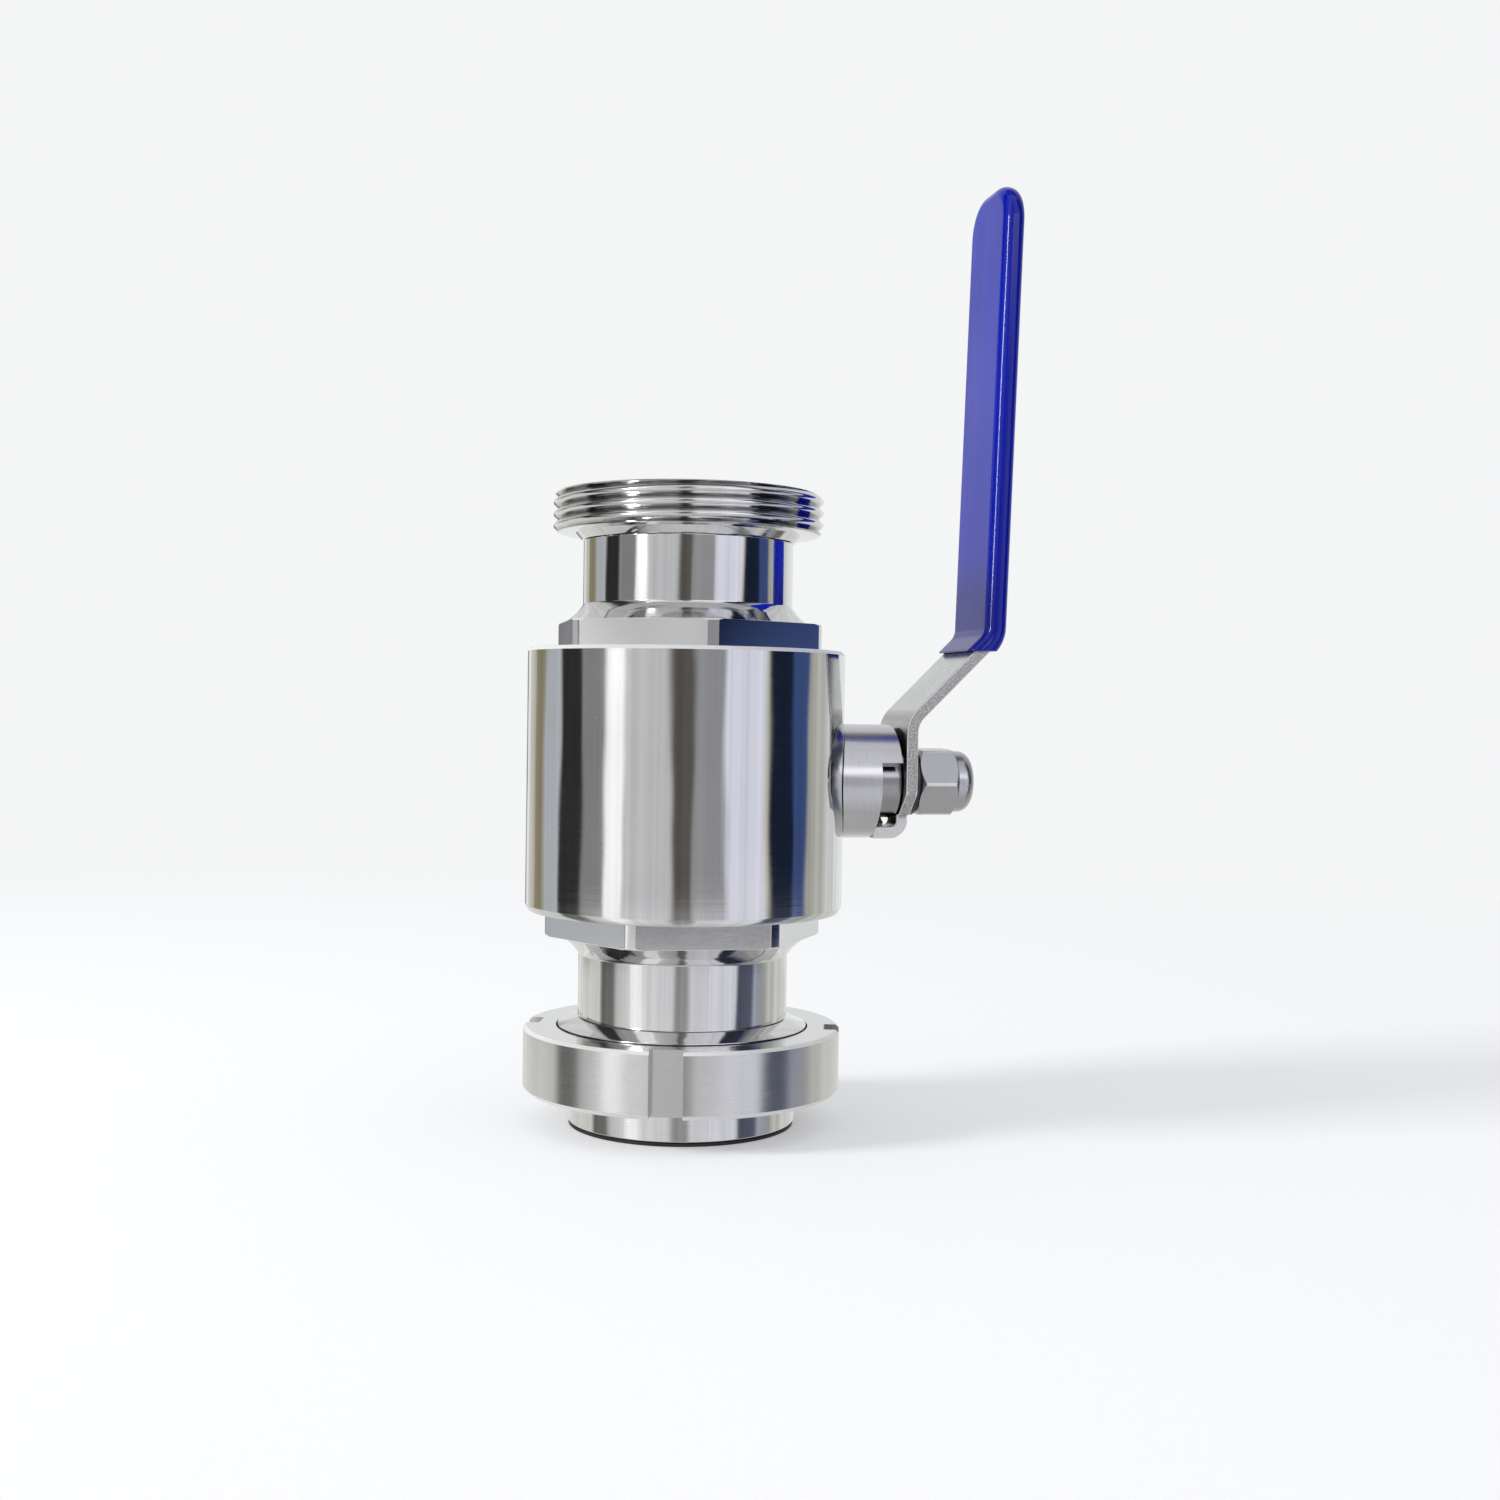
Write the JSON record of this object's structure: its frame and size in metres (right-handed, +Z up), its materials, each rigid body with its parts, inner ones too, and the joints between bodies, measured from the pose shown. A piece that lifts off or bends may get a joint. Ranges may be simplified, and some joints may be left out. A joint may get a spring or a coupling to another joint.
{
  "type": "sanitary ball valve",
  "caption": "Full-bore sanitary ball valve with a round-threaded union end, a liner with a slotted union nut, and a cranked lever with a dipped grip.",
  "frame": {"origin": "centre of the bounding box's bottom: on the plane of the lower gasket's sealing face, between the flow axis and the grip", "axes": "+Z up along the flow axis towards the male thread, +X out along the stem axis towards the lever; the lever is open, along +Z"},
  "size_m": [0.1788, 0.1152, 0.3465],
  "materials": {
    "polished_steel": "mirror-polished stainless steel",
    "satin_steel": "satin turned or stamped stainless steel",
    "white_ptfe": "smooth white PTFE",
    "black_rubber": "moulded black EPDM",
    "blue_vinyl": "glossy dipped vinyl",
    "blue_nylon": "moulded nylon"
  },
  "bodies": {
    "valve_body": {"body_shell": "polished_steel", "upper_end_cap": "polished_steel", "lower_end_cap": "polished_steel", "male_union_end": "satin_steel", "union_liner": "satin_steel", "union_gasket": "black_rubber", "upper_seat": "white_ptfe", "lower_seat": "white_ptfe", "upper_body_seal": "black_rubber", "lower_body_seal": "black_rubber", "stem_collar": "satin_steel", "stem_thrust_washer": "white_ptfe", "stem_packing_1": "white_ptfe", "stem_packing_2": "white_ptfe", "stem_packing_3": "white_ptfe", "gland_nut": "satin_steel"},
    "lever_assembly": {"ball": "polished_steel", "stem": "satin_steel", "lever_plate": "satin_steel", "grip_sleeve": "blue_vinyl", "lock_washer": "satin_steel", "lever_nut": "satin_steel", "nut_insert": "blue_nylon"},
    "slotted_nut": {"union_nut": "satin_steel"}
  },
  "joints": [
    {"name": "lever_turn", "type": "hinge", "parent": "valve_body", "child": "lever_assembly", "pos_m": [-0.03184, 0, 0.1248], "axis": [-1, 0, 0], "range_deg": [0, 90]},
    {"name": "union_nut_turn", "type": "hinge", "parent": "valve_body", "child": "slotted_nut", "pos_m": [-0.03184, 0, 0.0306], "axis": [0, 0, 1], "continuous": true}
  ]
}
